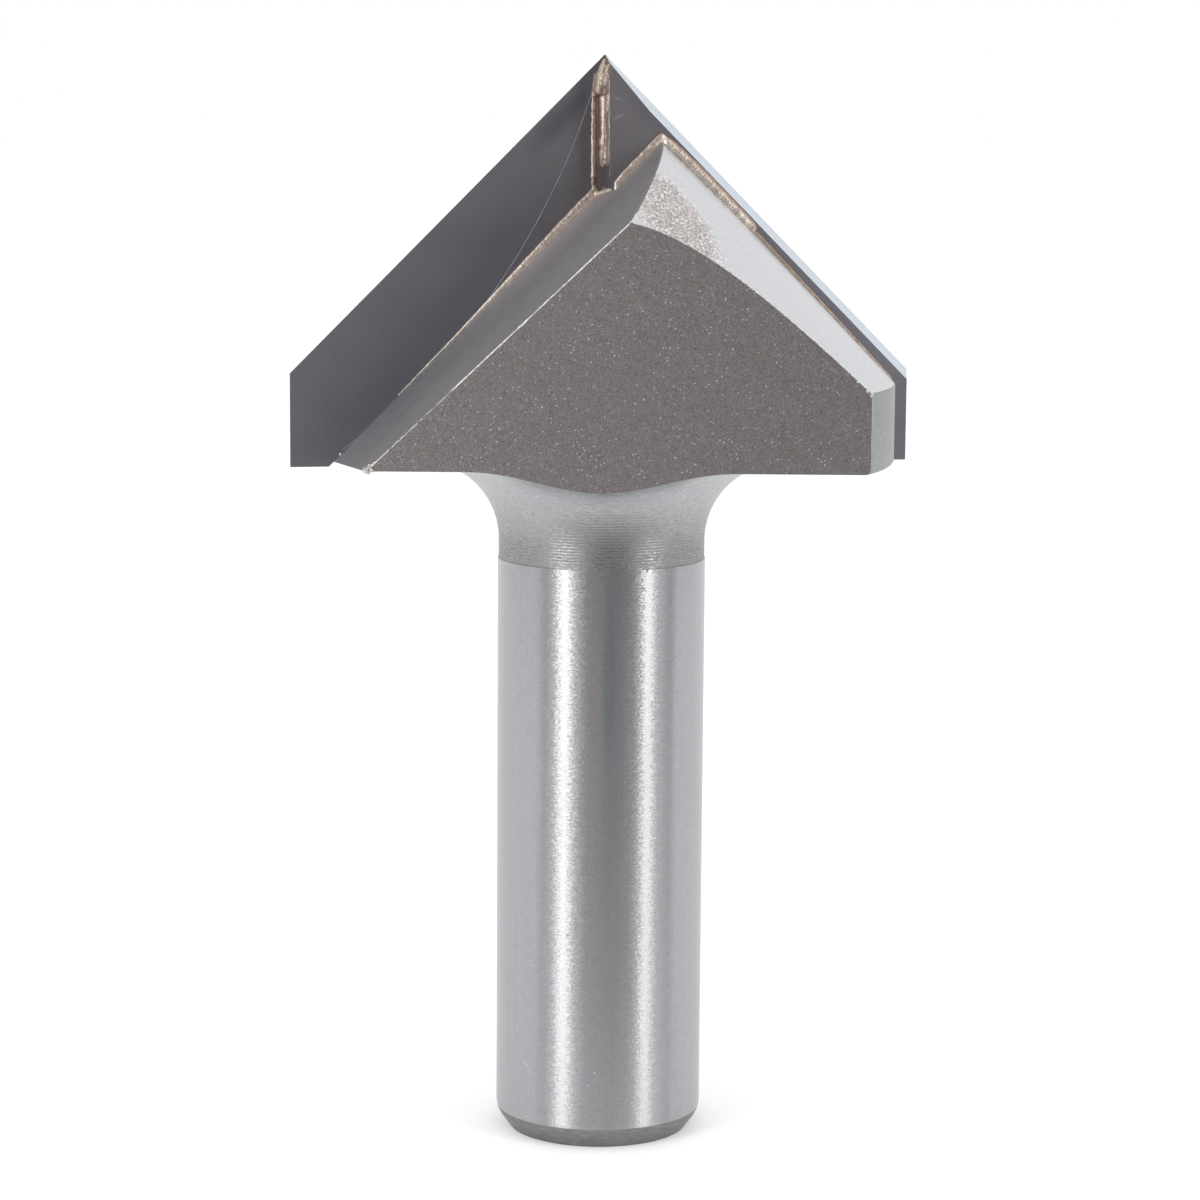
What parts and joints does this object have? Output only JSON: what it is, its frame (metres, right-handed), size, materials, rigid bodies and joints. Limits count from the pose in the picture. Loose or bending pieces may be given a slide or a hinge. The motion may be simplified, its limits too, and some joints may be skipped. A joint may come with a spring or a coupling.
{
  "type": "v-groove router bit",
  "caption": "V-groove router bit: brazed carbide cutters on a milled steel head that comes to a right-angled point, over a straight chamfered shank.",
  "frame": {"origin": "centre of the shank's lower end face", "axes": "+Z along the bit's axis from the shank to the cutting point; the two rake faces lie in the XZ plane, with the front cutter at -X facing -Y"},
  "size_m": [0.0382, 0.0214, 0.0662],
  "materials": {
    "tool_steel": "ground shank, blasted flats",
    "tungsten_carbide": "fine ground, dark grey",
    "silver_braze": "rough, copper-silver"
  },
  "bodies": {
    "root": {"body": "tool_steel", "carbide_tip_1": "tungsten_carbide", "carbide_tip_2": "tungsten_carbide", "braze_seam_1": "silver_braze", "braze_seam_2": "silver_braze"}
  },
  "joints": []
}
